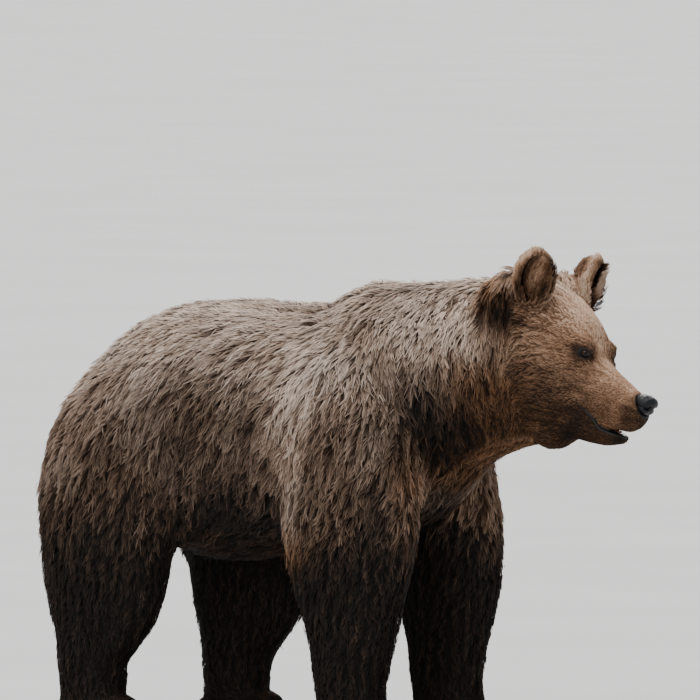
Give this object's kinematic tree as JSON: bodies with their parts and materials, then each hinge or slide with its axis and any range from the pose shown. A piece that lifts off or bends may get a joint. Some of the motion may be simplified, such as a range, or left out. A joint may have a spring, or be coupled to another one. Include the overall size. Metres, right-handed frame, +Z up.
{
  "type": "standing brown bear figure",
  "caption": "Life-size still model of a young adult brown bear standing on all fours, its head low and level and its mouth slightly open.",
  "frame": {"origin": "on the floor, under the centre of the bounding box", "axes": "+X the way the bear faces, +Y to its left, +Z up"},
  "size_m": [1.4916, 0.507, 1.0105],
  "materials": {
    "coat": "thick shaggy fur, grey-brown with paler tips",
    "dark_coat": "short dense fur, dark brown",
    "bare_skin": "bare pebbled skin, moist",
    "tongue": "soft and moist",
    "claw_horn": "smooth horn",
    "eye": "polished"
  },
  "bodies": {
    "root": {"ear_left": "coat", "ear_right": "coat", "eye_left": "eye", "eye_right": "eye", "front_left_claw_1": "claw_horn", "front_left_claw_2": "claw_horn", "front_left_claw_3": "claw_horn", "front_left_claw_4": "claw_horn", "front_left_claw_5": "claw_horn", "front_left_lower_leg": "dark_coat", "front_left_paw": "dark_coat", "front_left_upper_leg": "coat", "front_right_claw_1": "claw_horn", "front_right_claw_2": "claw_horn", "front_right_claw_3": "claw_horn", "front_right_claw_4": "claw_horn", "front_right_claw_5": "claw_horn", "front_right_lower_leg": "dark_coat", "front_right_paw": "dark_coat", "front_right_upper_leg": "coat", "head": "coat", "hind_left_claw_1": "claw_horn", "hind_left_claw_2": "claw_horn", "hind_left_claw_3": "claw_horn", "hind_left_claw_4": "claw_horn", "hind_left_claw_5": "claw_horn", "hind_left_lower_leg": "dark_coat", "hind_left_paw": "dark_coat", "hind_left_upper_leg": "coat", "hind_right_claw_1": "claw_horn", "hind_right_claw_2": "claw_horn", "hind_right_claw_3": "claw_horn", "hind_right_claw_4": "claw_horn", "hind_right_claw_5": "claw_horn", "hind_right_lower_leg": "dark_coat", "hind_right_paw": "dark_coat", "hind_right_upper_leg": "coat", "lower_jaw": "coat", "neck": "coat", "nose": "bare_skin", "tail": "coat", "tongue": "tongue", "trunk": "coat"}
  },
  "joints": []
}
